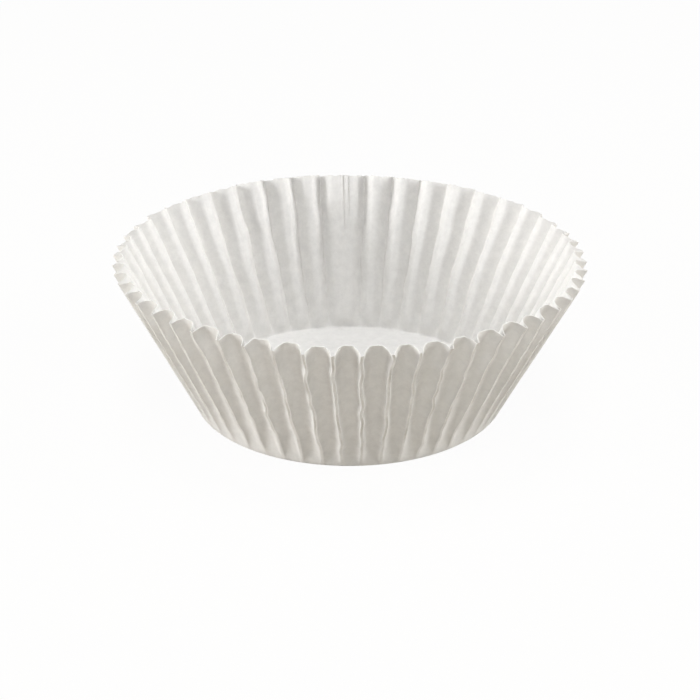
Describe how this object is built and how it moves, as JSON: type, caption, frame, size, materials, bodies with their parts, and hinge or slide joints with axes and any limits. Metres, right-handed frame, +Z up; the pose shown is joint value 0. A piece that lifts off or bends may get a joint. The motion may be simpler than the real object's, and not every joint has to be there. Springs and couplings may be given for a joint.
{
  "type": "paper baking cup",
  "caption": "Shallow round baking cup pressed from one disc of thin paper, with a flat base and a flared wall gathered into sharp flutes.",
  "frame": {"origin": "centre of the underside, on the surface that the cup stands on", "axes": "+Z up out of the cup's mouth, -Y toward the side that the picture shows nearest"},
  "size_m": [0.0788, 0.077, 0.0262],
  "materials": {
    "greaseproof_paper": "matte, slightly translucent white paper"
  },
  "bodies": {
    "root": {"pleated_cup": "greaseproof_paper"}
  },
  "joints": []
}
